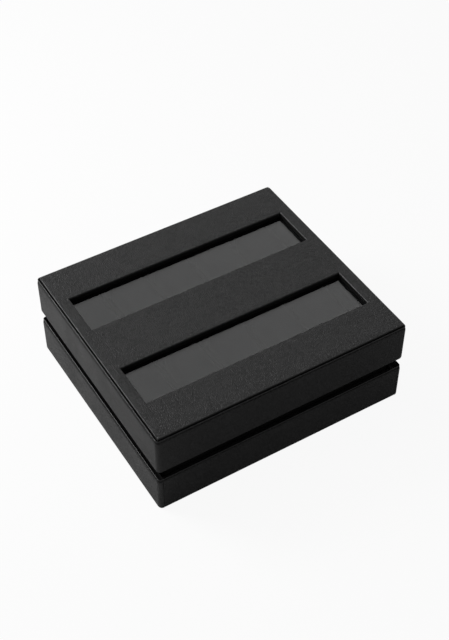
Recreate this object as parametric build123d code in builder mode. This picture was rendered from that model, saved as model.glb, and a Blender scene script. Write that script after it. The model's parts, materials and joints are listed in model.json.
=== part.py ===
from build123d import *
import os
from math import radians, tan

# A two-tier watch box wrapped in black leather. The lower tier, the case, holds a drawer and
# carries a neck of thin walls that rises through the shadow gap into the lid. The upper tier
# is a lid with two long windows, hinged at the back inside the shadow gap.
# +X is to the right, -Y is the front, +Z is up, and all sizes are in millimetres.
# The origin is the middle of the face that the box rests on.

# Outer size
box_width = 280.0
box_depth = 250.0
corner_radius = 4.5
case_height = 43.0
shadow_gap = 10.0
lid_height = 48.4

# Shoulder, crease and rim that finish the top of both tiers
shoulder_low_height = 1.5
shoulder_low_lean = 7.5
shoulder_high_height = 1.5
shoulder_high_lean = 22.5
rim_setback = 0.35
rim_width = 0.95
rim_height = 2.1
rim_rounding = 0.4
rim_below_panel = 1.9

# Case
pad_thickness = 1.0
pad_inset = 4.0
bottom_thickness = 4.0
case_wall_thickness = 8.0
lip_thickness = 3.0
lip_height = 7.0
neck_thickness = 4.0
neck_rise = 17.0
neck_corner_rounding = 1.0
deck_thickness = 3.0
deck_groove_depth = 1.5
lining_thickness = 1.0

# Drawer
finger_channel_width = 7.0
finger_channel_depth = 9.0
seam_margin = 0.2
seam_width = 0.3
front_floor_clearance = 0.4
runner_thickness = 1.0
drawer_side_clearance = 0.5
drawer_top_clearance = 1.0
drawer_back_clearance = 7.0
drawer_below_case_top = 3.5
drawer_board_thickness = 6.0
drawer_bottom_thickness = 3.0
drawer_lining_drop = 1.0
drawer_divider_thickness = 3.0
drawer_divider_height = 20.0
drawer_bay_count = 3
drawer_travel = 160.0
stop_clearance = 0.5
stop_width = 12.0
stop_length = 8.0
stop_drop = 7.0
stop_side_inset = 78.0

# Watch tray
bay_count = 5
divider_thickness = 3.0
divider_below_neck = 1.0
divider_end_clearance = 0.3
half_lap_clearance = 0.1
pillow_side_gap = 2.4
pillow_end_gap = 8.75
pillow_height = 34.0
pillow_side_rounding = 11.0
pillow_end_rounding = 7.0

# Lid
lid_wall_thickness = 5.0
lid_edge_roll = 4.0
groove_width = 1.7
panel_thickness = 2.0
panel_edge_rounding = 0.5
frame_thickness = 7.0
underside_thickness = 1.5
window_end_margin = 15.0
window_edge_margin = 45.8
middle_band_width = 58.4
glass_thickness = 3.0
glass_margin = 3.0
glass_clearance = 0.3

# Hinges
hinge_side_inset = 55.0
hinge_length = 40.0
knuckle_count = 5
knuckle_gap = 0.2
barrel_radius = 2.5
pin_radius = 1.0
running_clearance = 0.05
leaf_thickness = 1.0
fixed_leaf_drop = 11.5
moving_leaf_gap = 0.5
barrel_clearance = 0.3

# Screws
screw_pitch = 13.0
screw_radius = 1.0
screw_head_radius = 1.8
screw_head_height = 0.8
screw_edge_margin = 0.5
screw_slot_width = 0.5
screw_slot_depth = 0.35
neck_screw_length = 3.0
lid_screw_length = 3.6
drawer_screw_radius = 1.5
drawer_screw_head_radius = 3.0
drawer_screw_head_height = 1.5
drawer_screw_length = 14.0
drawer_screw_side_inset = 40.0
drawer_screw_low = 8.0
drawer_screw_pitch = 14.0

# Levels, from the rest face up
bottom_top = pad_thickness + bottom_thickness
ledge_level = case_height - lip_height
case_crease = case_height - rim_height
lid_bottom = case_height + shadow_gap
lid_top = lid_bottom + lid_height
lid_crease = lid_top - rim_below_panel - rim_height
neck_top = case_height + neck_rise
drawer_low = bottom_top + runner_thickness
drawer_high = case_height - drawer_below_case_top
deck_low = drawer_high + drawer_top_clearance
deck_high = deck_low + deck_thickness
tray_floor = deck_high + lining_thickness
divider_top = neck_top - divider_below_neck
panel_low = lid_top - panel_thickness
frame_low = panel_low - frame_thickness
underside_low = frame_low - underside_thickness
glass_top = frame_low + glass_thickness

# Places across the box
half_width = box_width / 2
half_depth = box_depth / 2
neck_x = half_width - case_wall_thickness
neck_back = half_depth - case_wall_thickness
neck_front = lip_thickness + finger_channel_width - half_depth
bay_x = neck_x - neck_thickness
bay_back = neck_back - neck_thickness
bay_front = neck_front + neck_thickness
tray_x = bay_x - lining_thickness
tray_back = bay_back - lining_thickness
tray_front = bay_front + lining_thickness
lip_front = lip_thickness - half_depth
seam_x = half_width - corner_radius - seam_margin
lid_inner_x = half_width - lid_wall_thickness
lid_inner_y = half_depth - lid_wall_thickness
panel_inset = rim_setback + rim_width + groove_width
panel_x = half_width - panel_inset
panel_y = half_depth - panel_inset
window_x = half_width - window_end_margin
window_width = half_depth - window_edge_margin - middle_band_width / 2
window_middle_y = (middle_band_width + window_width) / 2
window_centres = (-window_middle_y, window_middle_y)
hinge_centres = (hinge_side_inset - half_width, half_width - hinge_side_inset)
stop_offset = half_width - stop_side_inset
drawer_screw_offset = half_width - drawer_screw_side_inset
shoulder_low_run = shoulder_low_height * tan(radians(shoulder_low_lean))
shoulder_high_run = shoulder_high_height * tan(radians(shoulder_high_lean))
shoulder_height = shoulder_low_height + shoulder_high_height

os.makedirs("parts", exist_ok=True)


def save(piece, name):
    """Name a finished piece and write it to its own file."""
    piece.label = name
    export_step(piece, f"parts/{name}.step")


def rectangle_between(x_low, x_high, y_low, y_high, mode=Mode.ADD):
    """Draw, in the open sketch, the rectangle that has these edges."""
    with Locations(((x_low + x_high) / 2, (y_low + y_high) / 2)):
        Rectangle(x_high - x_low, y_high - y_low, mode=mode)


def block_between(x_low, x_high, y_low, y_high, z_low, z_high, mode=Mode.ADD):
    """Add or cut, in the open part, the block that has these faces."""
    with Locations(((x_low + x_high) / 2, (y_low + y_high) / 2, z_low)):
        Box(x_high - x_low, y_high - y_low, z_high - z_low,
            align=(Align.CENTER, Align.CENTER, Align.MIN), mode=mode)


def board(name, x_low, x_high, y_low, y_high, z_low, z_high, rounding=0.0):
    """Make a plain rectangular board, with its upright edges rounded if asked."""
    with BuildPart() as piece:
        with BuildSketch(Plane.XY.offset(z_low)):
            rectangle_between(x_low, x_high, y_low, y_high)
        extrude(amount=z_high - z_low)
        if rounding > 0:
            fillet(piece.edges().filter_by(Axis.Z), rounding)
    save(piece.part, name)


def tier_form(low, crease):
    """The outer form of one tier: upright sides, a leaning shoulder up to the crease, a rim."""
    shoulder = crease - shoulder_height
    middle = shoulder + shoulder_low_height
    rim_inset = rim_setback + rim_width
    with BuildPart() as form:
        with BuildSketch(Plane.XY.offset(low)):
            RectangleRounded(box_width, box_depth, corner_radius)
        extrude(amount=shoulder - low)
        with BuildSketch(Plane.XY.offset(shoulder)):
            RectangleRounded(box_width, box_depth, corner_radius)
        extrude(amount=shoulder_low_height, taper=shoulder_low_lean)
        with BuildSketch(Plane.XY.offset(middle)):
            RectangleRounded(box_width - 2 * shoulder_low_run, box_depth - 2 * shoulder_low_run,
                             corner_radius - shoulder_low_run)
        extrude(amount=shoulder_high_height, taper=shoulder_high_lean)
        with BuildSketch(Plane.XY.offset(crease)):
            RectangleRounded(box_width - 2 * rim_setback, box_depth - 2 * rim_setback,
                             corner_radius - rim_setback)
            RectangleRounded(box_width - 2 * rim_inset, box_depth - 2 * rim_inset,
                             corner_radius - rim_inset, mode=Mode.SUBTRACT)
        extrude(amount=rim_height)
        fillet(form.faces().sort_by(Axis.Z)[-1].edges(), rim_rounding)
    return form.part


def screw(centre, towards, length, radius, head_radius, head_height, slotted):
    """A screw whose head sits on a face at centre and whose shank runs along towards."""
    with BuildPart(Plane(origin=centre, z_dir=towards)) as piece:
        Cylinder(radius, length, align=(Align.CENTER, Align.CENTER, Align.MIN))
        with Locations((0, 0, -head_height)):
            Cylinder(head_radius, head_height, align=(Align.CENTER, Align.CENTER, Align.MIN))
        if slotted:
            with Locations((0, 0, -head_height)):
                Box(2 * head_radius, screw_slot_width, screw_slot_depth,
                    align=(Align.CENTER, Align.CENTER, Align.MIN), mode=Mode.SUBTRACT)
    return piece.part


# Case, from the rest face up

# Felt pad that the box rests on
board("base_pad", pad_inset - half_width, half_width - pad_inset,
      neck_front + running_clearance, half_depth - pad_inset, 0, pad_thickness)

# Bottom board
board("bottom_board", -neck_x, neck_x, neck_front, neck_back, pad_thickness, bottom_top)

# Outer wall of the case: three leather-wrapped sides with a thin lip above an inner ledge,
# and a short return at each front corner where the drawer front meets it
case_form = tier_form(pad_thickness, case_crease)
with BuildPart() as case_wall:
    add(case_form)
    with BuildSketch(Plane.XY.offset(pad_thickness)):
        rectangle_between(-neck_x, neck_x, -box_depth, neck_back)
    extrude(amount=ledge_level - pad_thickness, mode=Mode.SUBTRACT)
    with BuildSketch(Plane.XY.offset(ledge_level)):
        RectangleRounded(box_width - 2 * lip_thickness, box_depth - 2 * lip_thickness,
                         corner_radius - lip_thickness)
    extrude(amount=case_height - ledge_level, mode=Mode.SUBTRACT)
    with BuildSketch(Plane.XY.offset(pad_thickness)):
        rectangle_between(-seam_x, seam_x, -box_depth, lip_front)
    extrude(amount=case_height - pad_thickness, mode=Mode.SUBTRACT)
save(case_wall.part, "case_wall")

# Neck walls, with a groove that holds the deck
for side, sign in (("left", -1), ("right", 1)):
    wall_edges = sorted((sign * neck_x, sign * bay_x))
    groove_edges = sorted((sign * (bay_x + deck_groove_depth), sign * bay_x))
    with BuildPart() as neck_side:
        with BuildSketch(Plane.XY.offset(bottom_top)):
            rectangle_between(*wall_edges, neck_front, neck_back)
        extrude(amount=neck_top - bottom_top)
        outer_edges = neck_side.edges().filter_by(Axis.Z).group_by(Axis.X)[0 if sign < 0 else -1]
        fillet(outer_edges, neck_corner_rounding)
        block_between(*groove_edges, bay_front, bay_back, deck_low, deck_high, mode=Mode.SUBTRACT)
    save(neck_side.part, f"neck_{side}")

screw_steps = (-screw_pitch, 0, screw_pitch)
axis_y = half_depth - (half_depth - neck_back) / 2
axis_z = case_height + shadow_gap / 2
fixed_leaf_low = axis_z - fixed_leaf_drop
neck_screw_z = fixed_leaf_low + screw_head_radius + screw_edge_margin
hole_radius = screw_radius + running_clearance

with BuildPart() as neck_back_wall:
    with BuildSketch(Plane.XY.offset(bottom_top)):
        rectangle_between(-bay_x, bay_x, bay_back, neck_back)
    extrude(amount=neck_top - bottom_top)
    block_between(-bay_x, bay_x, bay_back, bay_back + deck_groove_depth,
                  deck_low, deck_high, mode=Mode.SUBTRACT)
    for centre in hinge_centres:
        for step in screw_steps:
            with BuildSketch(Plane(origin=(centre + step, neck_back, neck_screw_z), z_dir=(0, -1, 0))):
                Circle(hole_radius)
            extrude(amount=neck_screw_length + running_clearance, mode=Mode.SUBTRACT)
save(neck_back_wall.part, "neck_back")

board("neck_front_rail", -bay_x, bay_x, neck_front, bay_front, deck_low, neck_top)

# Deck that carries the watch tray, held in the neck's grooves
with BuildPart() as deck_board:
    with BuildSketch(Plane.XY.offset(deck_low)):
        rectangle_between(-bay_x - deck_groove_depth, bay_x + deck_groove_depth, bay_front, bay_back)
        rectangle_between(-bay_x, bay_x, bay_back, bay_back + deck_groove_depth)
    extrude(amount=deck_thickness)
save(deck_board.part, "deck_board")

board("deck_lining", -bay_x, bay_x, bay_front, bay_back, deck_high, tray_floor)

# Velvet round the inside of the neck
with BuildPart() as neck_lining:
    with BuildSketch(Plane.XY.offset(tray_floor)):
        rectangle_between(-bay_x, bay_x, bay_front, bay_back)
        rectangle_between(-tray_x, tray_x, tray_front, tray_back, mode=Mode.SUBTRACT)
    extrude(amount=neck_top - tray_floor)
save(neck_lining.part, "neck_lining")

# Dividers, crossed in half laps
tray_middle = (tray_front + tray_back) / 2
bay_pitch = 2 * tray_x / bay_count
divider_lines = [bay_pitch * (i + 1) - tray_x for i in range(bay_count - 1)]
lap_level = (tray_floor + divider_top) / 2
half_divider = divider_thickness / 2
half_lap = half_divider + half_lap_clearance

with BuildPart() as long_divider:
    block_between(divider_end_clearance - tray_x, tray_x - divider_end_clearance,
                  tray_middle - half_divider, tray_middle + half_divider, tray_floor, divider_top)
    for line in divider_lines:
        block_between(line - half_lap, line + half_lap, tray_middle - half_lap, tray_middle + half_lap,
                      lap_level - half_lap_clearance, divider_top, mode=Mode.SUBTRACT)
save(long_divider.part, "long_divider")

for number, line in enumerate(divider_lines, start=1):
    with BuildPart() as cross_divider:
        block_between(line - half_divider, line + half_divider,
                      tray_front + divider_end_clearance, tray_back - divider_end_clearance,
                      tray_floor, divider_top)
        block_between(line - half_lap, line + half_lap, tray_middle - half_lap, tray_middle + half_lap,
                      tray_floor, lap_level, mode=Mode.SUBTRACT)
    save(cross_divider.part, f"cross_divider_{number}")

# Watch pillows, one in each bay: soft blocks with rounded sides and ends, flat where they rest
pillow_width = bay_pitch - divider_thickness - 2 * pillow_side_gap
pillow_length = tray_middle - half_divider - tray_front - 2 * pillow_end_gap
row_centres = {"front": (tray_front + tray_middle - half_divider) / 2,
               "back": (tray_middle + half_divider + tray_back) / 2}
for row, row_y in row_centres.items():
    for number in range(bay_count):
        pillow_x = bay_pitch * (number + 0.5) - tray_x
        start = Plane(origin=(pillow_x, row_y - pillow_length / 2, tray_floor + pillow_height / 2),
                      x_dir=(1, 0, 0), z_dir=(0, 1, 0))
        with BuildPart() as pillow:
            with BuildSketch(start):
                RectangleRounded(pillow_width, pillow_height, pillow_side_rounding)
            extrude(amount=pillow_length)
            fillet(pillow.faces().group_by(Axis.Y)[0].edges(), pillow_end_rounding)
            fillet(pillow.faces().group_by(Axis.Y)[-1].edges(), pillow_end_rounding)
        save(pillow.part, f"pillow_{row}_{number + 1}")

# Low strips that the drawer slides on
drawer_x = bay_x - drawer_side_clearance
drawer_inner_x = drawer_x - drawer_board_thickness
drawer_back = bay_back - drawer_back_clearance
with BuildPart() as drawer_runners:
    for sign in (-1, 1):
        runner_edges = sorted((sign * drawer_x, sign * drawer_inner_x))
        block_between(*runner_edges, neck_front, drawer_back, bottom_top, drawer_low)
save(drawer_runners.part, "drawer_runners")

# Blocks under the deck that the drawer's back meets when it is pulled out
drawer_back_inner = drawer_back - drawer_board_thickness
stop_back = drawer_back_inner - lining_thickness - drawer_travel - stop_clearance
with BuildPart() as drawer_stops:
    for sign in (-1, 1):
        block_between(sign * stop_offset - stop_width / 2, sign * stop_offset + stop_width / 2,
                      stop_back - stop_length, stop_back, deck_low - stop_drop, deck_low)
save(drawer_stops.part, "drawer_stops")

# Drawer

# Leather-wrapped front: a thin lip flush with the case, over a thicker block with a channel
# behind the lip for the fingertips
front_low = pad_thickness + front_floor_clearance
channel_floor = case_height - finger_channel_depth
front_face = -half_depth
inner_front_x = neck_x - drawer_side_clearance
drawer_screw_levels = [drawer_low + drawer_screw_low + step * drawer_screw_pitch for step in (0, 1)]
drawer_screws_at = [(sign * drawer_screw_offset, level) for sign in (-1, 1) for level in drawer_screw_levels]
drawer_box_front_back = neck_front + drawer_board_thickness
drawer_hole = drawer_screw_radius + running_clearance

with BuildPart() as drawer_front:
    with BuildSketch(Plane.YZ.offset(seam_width - seam_x)):
        with BuildLine():
            Polyline(
                (lip_front, front_low),
                (front_face, front_low),
                (front_face, case_crease - shoulder_height),
                (front_face + shoulder_low_run, case_crease - shoulder_high_height),
                (front_face + shoulder_low_run + shoulder_high_run, case_crease),
                (lip_front, case_crease),
                close=True)
        make_face()
        rectangle_between(front_face + rim_setback, front_face + rim_setback + rim_width,
                          case_crease, case_height)
    extrude(amount=2 * (seam_x - seam_width))
    rim_tops = drawer_front.faces().sort_by(Axis.Z)[-1].edges().filter_by(Axis.X)
    fillet(rim_tops, rim_rounding)
    block_between(-inner_front_x, inner_front_x, lip_front, neck_front, front_low, channel_floor)
    for x, z in drawer_screws_at:
        with BuildSketch(Plane(origin=(x, neck_front, z), z_dir=(0, -1, 0))):
            Circle(drawer_hole)
        extrude(amount=drawer_screw_length + drawer_screw_head_height - drawer_board_thickness
                + running_clearance, mode=Mode.SUBTRACT)
save(drawer_front.part, "drawer_front")

# Drawer box
with BuildPart() as drawer_box_front:
    with BuildSketch(Plane.XY.offset(drawer_low)):
        rectangle_between(-drawer_x, drawer_x, neck_front, drawer_box_front_back)
    extrude(amount=drawer_high - drawer_low)
    for x, z in drawer_screws_at:
        with BuildSketch(Plane(origin=(x, drawer_box_front_back, z), z_dir=(0, -1, 0))):
            Circle(drawer_hole)
        extrude(amount=drawer_board_thickness, mode=Mode.SUBTRACT)
        with BuildSketch(Plane(origin=(x, drawer_box_front_back, z), z_dir=(0, -1, 0))):
            Circle(drawer_screw_head_radius + running_clearance)
        extrude(amount=drawer_screw_head_height, mode=Mode.SUBTRACT)
save(drawer_box_front.part, "drawer_box_front")

board("drawer_side_left", -drawer_x, -drawer_inner_x, drawer_box_front_back, drawer_back,
      drawer_low, drawer_high)
board("drawer_side_right", drawer_inner_x, drawer_x, drawer_box_front_back, drawer_back,
      drawer_low, drawer_high)
board("drawer_back", -drawer_inner_x, drawer_inner_x, drawer_back_inner, drawer_back,
      drawer_low, drawer_high)
drawer_floor = drawer_low + drawer_bottom_thickness
board("drawer_bottom", -drawer_inner_x, drawer_inner_x, drawer_box_front_back, drawer_back_inner,
      drawer_low, drawer_floor)

# Velvet tray that lines the drawer
lined_x = drawer_inner_x - lining_thickness
lined_front = drawer_box_front_back + lining_thickness
lined_back = drawer_back_inner - lining_thickness
lined_floor = drawer_floor + lining_thickness
with BuildPart() as drawer_lining:
    block_between(-drawer_inner_x, drawer_inner_x, drawer_box_front_back, drawer_back_inner,
                  drawer_floor, drawer_high - drawer_lining_drop)
    block_between(-lined_x, lined_x, lined_front, lined_back,
                  lined_floor, drawer_high - drawer_lining_drop, mode=Mode.SUBTRACT)
save(drawer_lining.part, "drawer_lining")

# Dividers that part the drawer into bays
drawer_divider_count = drawer_bay_count - 1
drawer_bay_pitch = (2 * lined_x + drawer_divider_thickness) / drawer_bay_count
for number in range(1, drawer_divider_count + 1):
    line = drawer_bay_pitch * number - lined_x - drawer_divider_thickness / 2
    board(f"drawer_divider_{number}",
          line - drawer_divider_thickness / 2, line + drawer_divider_thickness / 2,
          lined_front, lined_back, lined_floor, lined_floor + drawer_divider_height)

with BuildPart() as drawer_front_screws:
    for x, z in drawer_screws_at:
        add(screw((x, drawer_box_front_back - drawer_screw_head_height, z), (0, -1, 0),
                  drawer_screw_length, drawer_screw_radius,
                  drawer_screw_head_radius, drawer_screw_head_height, slotted=False))
save(drawer_front_screws.part, "drawer_front_screws")

# Lid

# Leather-wrapped outer wall with a rolled lower edge, and a ledge inside its rim for the frame
lid_screw_z = (lid_bottom + neck_top - moving_leaf_gap) / 2
rim_inner = rim_setback + rim_width
lid_form = tier_form(lid_bottom, lid_crease)
with BuildPart() as lid_wall:
    add(lid_form)
    fillet(lid_wall.faces().sort_by(Axis.Z)[0].edges(), lid_edge_roll)
    with BuildSketch(Plane.XY.offset(lid_bottom)):
        Rectangle(2 * lid_inner_x, 2 * lid_inner_y)
    extrude(amount=frame_low - lid_bottom, mode=Mode.SUBTRACT)
    with BuildSketch(Plane.XY.offset(frame_low)):
        RectangleRounded(box_width - 2 * rim_inner, box_depth - 2 * rim_inner, corner_radius - rim_inner)
    extrude(amount=lid_top - frame_low, mode=Mode.SUBTRACT)
    for centre in hinge_centres:
        for step in screw_steps:
            with BuildSketch(Plane(origin=(centre + step, lid_inner_y, lid_screw_z), z_dir=(0, 1, 0))):
                Circle(hole_radius)
            extrude(amount=lid_screw_length - leaf_thickness + running_clearance, mode=Mode.SUBTRACT)
save(lid_wall.part, "lid_wall")

# Boards inside the lid wall, which rest on the neck and carry the frame
board("lid_board_front", -lid_inner_x, lid_inner_x, -lid_inner_y, bay_front, neck_top, underside_low)
board("lid_board_back", -lid_inner_x, lid_inner_x, bay_back, lid_inner_y, neck_top, underside_low)
board("lid_board_left", -lid_inner_x, -bay_x, bay_front, bay_back, neck_top, underside_low)
board("lid_board_right", bay_x, lid_inner_x, bay_front, bay_back, neck_top, underside_low)

# Velvet round the inside of the lid, a little short of the neck's lining
with BuildPart() as lid_lining:
    with BuildSketch(Plane.XY.offset(neck_top + divider_end_clearance)):
        rectangle_between(-bay_x, bay_x, bay_front, bay_back)
        rectangle_between(-tray_x, tray_x, tray_front, tray_back, mode=Mode.SUBTRACT)
    extrude(amount=underside_low - neck_top - divider_end_clearance)
save(lid_lining.part, "lid_lining")

# Covered board that closes the underside of the frame and holds the panes up
with BuildPart() as lid_underside_panel:
    with BuildSketch(Plane.XY.offset(underside_low)):
        Rectangle(2 * lid_inner_x, 2 * lid_inner_y)
        with Locations(*[(0, y) for y in window_centres]):
            Rectangle(2 * window_x, window_width, mode=Mode.SUBTRACT)
    extrude(amount=underside_thickness)
save(lid_underside_panel.part, "lid_underside_panel")

# Frame of two stiles and three rails, rebated from below for the panes
low_window, high_window = [(y - window_width / 2, y + window_width / 2) for y in window_centres]
frame_pieces = {
    "lid_stile_left": (-panel_x, -window_x, -panel_y, panel_y),
    "lid_stile_right": (window_x, panel_x, -panel_y, panel_y),
    "lid_rail_front": (-window_x, window_x, -panel_y, low_window[0]),
    "lid_rail_middle": (-window_x, window_x, low_window[1], high_window[0]),
    "lid_rail_back": (-window_x, window_x, high_window[1], panel_y),
}
glass_x = window_x + glass_margin
pocket_x = glass_x + glass_clearance
for name, edges in frame_pieces.items():
    with BuildPart() as frame_piece:
        block_between(*edges, frame_low, panel_low)
        for window_y in window_centres:
            pocket_y = window_width / 2 + glass_margin + glass_clearance
            block_between(-pocket_x, pocket_x, window_y - pocket_y, window_y + pocket_y,
                          frame_low, glass_top, mode=Mode.SUBTRACT)
    save(frame_piece.part, name)

# Panes
for name, window_y in zip(("glass_front", "glass_back"), window_centres):
    glass_y = window_width / 2 + glass_margin
    board(name, -glass_x, glass_x, window_y - glass_y, window_y + glass_y, frame_low, glass_top)

# Leather panel laid in the top of the lid, with sharp corners and a groove all round it
with BuildPart() as lid_top_panel:
    with BuildSketch(Plane.XY.offset(panel_low)):
        Rectangle(2 * panel_x, 2 * panel_y)
        with Locations(*[(0, y) for y in window_centres]):
            Rectangle(2 * window_x, window_width, mode=Mode.SUBTRACT)
    extrude(amount=panel_thickness)
    fillet(lid_top_panel.faces().sort_by(Axis.Z)[-1].edges(), panel_edge_rounding)
save(lid_top_panel.part, "lid_top_panel")

# Hinges in the shadow gap at the back. The fixed leaf lies on the neck, the moving leaf on the
# inside of the lid wall, and the knuckles take turns along the pin.
knuckle_pitch = hinge_length / knuckle_count
knuckle_length = knuckle_pitch - knuckle_gap
bore_radius = pin_radius + running_clearance
leaf_clear_level = axis_z + barrel_radius + barrel_clearance
moving_leaf_top = neck_top - moving_leaf_gap


def knuckle_spans(centre, first):
    """Low and high X of every second knuckle of a hinge, from the first one."""
    starts = [centre - hinge_length / 2 + i * knuckle_pitch for i in range(first, knuckle_count, 2)]
    return [(start + knuckle_gap / 2, start + knuckle_gap / 2 + knuckle_length) for start in starts]


for side, centre in zip(("left", "right"), hinge_centres):
    x_low = centre - hinge_length / 2
    x_high = centre + hinge_length / 2

    with BuildPart() as fixed_leaf:
        block_between(x_low, x_high, neck_back, neck_back + leaf_thickness,
                      fixed_leaf_low, axis_z - barrel_radius + leaf_thickness)
        for span_low, span_high in knuckle_spans(centre, 0):
            block_between(span_low, span_high, neck_back, axis_y,
                          axis_z - barrel_radius, axis_z - barrel_radius + leaf_thickness)
            with BuildSketch(Plane.YZ.offset(span_low)):
                with Locations((axis_y, axis_z)):
                    Circle(barrel_radius)
            extrude(amount=span_high - span_low)
        with BuildSketch(Plane.YZ.offset(x_low)):
            with Locations((axis_y, axis_z)):
                Circle(bore_radius)
        extrude(amount=hinge_length, mode=Mode.SUBTRACT)
        for step in screw_steps:
            with BuildSketch(Plane(origin=(centre + step, neck_back, neck_screw_z), z_dir=(0, 1, 0))):
                Circle(hole_radius)
            extrude(amount=leaf_thickness, mode=Mode.SUBTRACT)
    save(fixed_leaf.part, f"hinge_{side}_fixed_leaf")

    with BuildPart() as moving_leaf:
        block_between(x_low, x_high, lid_inner_y - leaf_thickness, lid_inner_y,
                      leaf_clear_level, moving_leaf_top)
        for span_low, span_high in knuckle_spans(centre, 1):
            block_between(span_low, span_high, lid_inner_y - leaf_thickness, lid_inner_y,
                          axis_z, moving_leaf_top)
            with BuildSketch(Plane.YZ.offset(span_low)):
                with Locations((axis_y, axis_z)):
                    Circle(barrel_radius)
            extrude(amount=span_high - span_low)
        with BuildSketch(Plane.YZ.offset(x_low)):
            with Locations((axis_y, axis_z)):
                Circle(bore_radius)
        extrude(amount=hinge_length, mode=Mode.SUBTRACT)
        for step in screw_steps:
            with BuildSketch(Plane(origin=(centre + step, lid_inner_y - leaf_thickness, lid_screw_z),
                                   z_dir=(0, 1, 0))):
                Circle(hole_radius)
            extrude(amount=leaf_thickness, mode=Mode.SUBTRACT)
    save(moving_leaf.part, f"hinge_{side}_moving_leaf")

with BuildPart() as hinge_pins:
    for centre in hinge_centres:
        with BuildSketch(Plane.YZ.offset(centre - hinge_length / 2)):
            with Locations((axis_y, axis_z)):
                Circle(pin_radius)
        extrude(amount=hinge_length)
save(hinge_pins.part, "hinge_pins")

with BuildPart() as hinge_case_screws:
    for centre in hinge_centres:
        for step in screw_steps:
            add(screw((centre + step, neck_back + leaf_thickness, neck_screw_z), (0, -1, 0),
                      neck_screw_length + leaf_thickness, screw_radius,
                      screw_head_radius, screw_head_height, slotted=True))
save(hinge_case_screws.part, "hinge_case_screws")

with BuildPart() as hinge_lid_screws:
    for centre in hinge_centres:
        for step in screw_steps:
            add(screw((centre + step, lid_inner_y - leaf_thickness, lid_screw_z), (0, 1, 0),
                      lid_screw_length, screw_radius,
                      screw_head_radius, screw_head_height, slotted=True))
save(hinge_lid_screws.part, "hinge_lid_screws")

print("hinge axis y, z:", axis_y, axis_z)
print("drawer travel:", drawer_travel, "top of the box:", lid_top)
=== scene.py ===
# %% [markdown]
# # A leather watch box with a drawer
# The box stands in two tiers, a case with a drawer below and a hinged lid with two long windows
# above, parted by a shadow gap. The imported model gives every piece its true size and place, so
# this lesson only dresses it: shells of leather, velvet, cushions, glass and metal. Everything is
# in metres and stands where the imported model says.

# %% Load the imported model
import json
from math import cos, radians, sin

import bmesh
import bpy
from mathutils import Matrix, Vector


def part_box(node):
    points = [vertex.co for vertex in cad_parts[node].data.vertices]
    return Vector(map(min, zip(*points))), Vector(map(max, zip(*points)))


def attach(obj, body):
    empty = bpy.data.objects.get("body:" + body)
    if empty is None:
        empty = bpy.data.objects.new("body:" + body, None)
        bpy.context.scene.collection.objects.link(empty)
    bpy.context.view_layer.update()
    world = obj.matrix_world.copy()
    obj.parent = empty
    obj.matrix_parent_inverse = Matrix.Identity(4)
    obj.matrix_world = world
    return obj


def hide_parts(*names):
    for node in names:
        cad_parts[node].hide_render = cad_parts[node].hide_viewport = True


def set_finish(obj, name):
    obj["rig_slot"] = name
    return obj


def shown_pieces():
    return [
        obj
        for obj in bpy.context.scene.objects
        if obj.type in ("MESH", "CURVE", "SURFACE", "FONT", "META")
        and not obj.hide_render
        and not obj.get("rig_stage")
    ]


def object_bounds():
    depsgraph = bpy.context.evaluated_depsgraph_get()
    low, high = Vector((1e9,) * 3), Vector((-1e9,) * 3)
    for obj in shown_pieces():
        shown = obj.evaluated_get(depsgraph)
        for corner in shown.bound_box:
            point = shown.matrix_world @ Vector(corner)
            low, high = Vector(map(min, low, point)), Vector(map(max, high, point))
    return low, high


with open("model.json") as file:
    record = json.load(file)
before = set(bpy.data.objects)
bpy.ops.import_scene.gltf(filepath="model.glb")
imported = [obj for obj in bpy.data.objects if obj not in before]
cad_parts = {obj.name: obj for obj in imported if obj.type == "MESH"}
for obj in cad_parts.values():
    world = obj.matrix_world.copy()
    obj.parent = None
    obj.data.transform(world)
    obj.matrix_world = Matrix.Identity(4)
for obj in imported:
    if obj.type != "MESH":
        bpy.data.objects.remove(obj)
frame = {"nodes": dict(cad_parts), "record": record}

packed_low, packed_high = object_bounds()
MM = 0.001
print("packed size in mm:", [round(side / MM, 1) for side in packed_high - packed_low])

# %% [markdown]
# ## The camera
# The photograph was taken from the front left, looking down at 46 degrees, through a lens that
# sees about 29 degrees from top to bottom. The place was found by matching points along the
# edges of the box to its rounded outline. Pointing the camera at a spot near the middle of the box
# keeps it upright, without any tilt.

# %% Place the camera
camera_place = Vector((-0.4506, -0.7511, 0.9728))
camera_target = Vector((0.0175, 0.0166, 0.0500))
bpy.ops.object.camera_add(location=camera_place)
camera = bpy.context.object
camera.name = "camera"
camera.rotation_euler = (camera_target - camera_place).to_track_quat("-Z", "Y").to_euler()
camera.data.lens = 70.2
camera.data.sensor_width = 36
camera.data.clip_end = 20
bpy.context.scene.camera = camera
print("camera distance:", round((camera_target - camera_place).length, 3))

# %% [markdown]
# ## Helpers for modelling
# Operators act on whatever is selected, so each step first says plainly which faces or edges it
# means. Choosing them by where they lie and which way they face keeps the steps readable, and it
# still works when a size changes.

# %% Helpers that select
def only(piece):
    """Make this piece the only one selected."""
    if bpy.context.object and bpy.context.object.mode == "EDIT":
        bpy.ops.object.mode_set(mode="OBJECT")
    for other in bpy.context.selected_objects:
        other.select_set(False)
    piece.select_set(True)
    bpy.context.view_layer.objects.active = piece


def edit(piece):
    """Open this piece in edit mode with nothing selected."""
    only(piece)
    bpy.ops.object.mode_set(mode="EDIT")
    bpy.ops.mesh.select_mode(type="FACE")
    bpy.ops.mesh.select_all(action="DESELECT")


def done():
    """Leave edit mode."""
    bpy.ops.object.mode_set(mode="OBJECT")


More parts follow.
